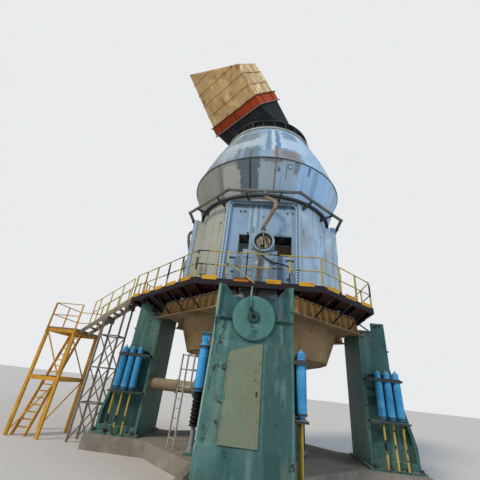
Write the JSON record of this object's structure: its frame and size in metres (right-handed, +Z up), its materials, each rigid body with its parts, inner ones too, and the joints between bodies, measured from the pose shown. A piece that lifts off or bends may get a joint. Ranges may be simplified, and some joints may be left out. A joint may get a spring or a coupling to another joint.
{
  "type": "vertical roller mill",
  "caption": "Vertical roller mill with a separator housing, roller stands, service platform, seal air ring, stair and a tilted gas outlet.",
  "frame": {"origin": "centre of the foundation block's underside, on the mill axis", "axes": "+Z up along the mill axis; the front door and front roller stand face -Y; the stair leaves towards -X"},
  "size_m": [16.55, 12.9, 22.4137],
  "materials": {
    "concrete": "weathered",
    "stand_paint": "chipped sea-green paint",
    "cover_paint": "worn green paint",
    "panel_olive": "faded olive paint",
    "hydraulic_blue": "gloss blue paint",
    "dark_steel": "dark grey paint with dust",
    "yellow_paint": "scuffed yellow paint",
    "gear_paint": "dusty machine grey-green",
    "tan_steel": "dusty tan-brown",
    "casing_paint": "faded beige-grey paint",
    "door_paint": "pale blue-grey paint",
    "hub_paint": "pale blue paint with rust",
    "cream_paint": "cream paint",
    "band_paint": "patched grey-beige paint",
    "cone_paint": "weathered bluish white",
    "head_paint": "pale blue paint",
    "red_oxide": "rusty red oxide",
    "cladding": "wrinkled sheet cladding",
    "ring_paint": "grey-beige paint",
    "hose_rubber": "dusty rubber hose",
    "deck_primer": "oxide primer",
    "stair_paint": "grey-brown, dusty",
    "galvanised": "dull galvanised",
    "offwhite_paint": "off-white paint"
  },
  "bodies": {
    "root": {"foundation_block": "concrete", "stand_front": "stand_paint", "stand_left": "stand_paint", "stand_right": "stand_paint", "stand_back": "stand_paint", "bearing_covers": "cover_paint", "inspection_panels": "panel_olive", "pull_cylinders": "hydraulic_blue", "accumulator_bottles": "hydraulic_blue", "accumulator_brackets": "dark_steel", "hydraulic_pipes": "yellow_paint", "gear_unit": "gear_paint", "lower_housing": "tan_steel", "base_ring": "tan_steel", "casing_shell": "casing_paint", "door_front": "door_paint", "door_left": "door_paint", "door_right": "door_paint", "door_back": "door_paint", "hub_tubes": "hub_paint", "hub_caps": "cream_paint", "casing_flange": "dark_steel", "separator_band": "band_paint", "girth_flange": "dark_steel", "separator_cone": "cone_paint", "curb_ring": "cone_paint", "neck_drum": "dark_steel", "outlet_head": "head_paint", "outlet_hood": "dark_steel", "expansion_frame": "red_oxide", "clad_duct": "cladding", "seal_air_ring": "ring_paint", "ring_brackets": "dark_steel", "seal_air_hoses": "hose_rubber", "platform_deck": "deck_primer", "platform_struts": "dark_steel", "toe_plates": "yellow_paint", "platform_rails": "yellow_paint", "stair_flight": "stair_paint", "stair_rails": "yellow_paint", "stair_landing": "stair_paint", "stair_tower": "yellow_paint", "steep_flight": "yellow_paint", "stair_trestle": "galvanised", "lube_pipe": "tan_steel", "access_ladder": "offwhite_paint"}
  },
  "joints": []
}
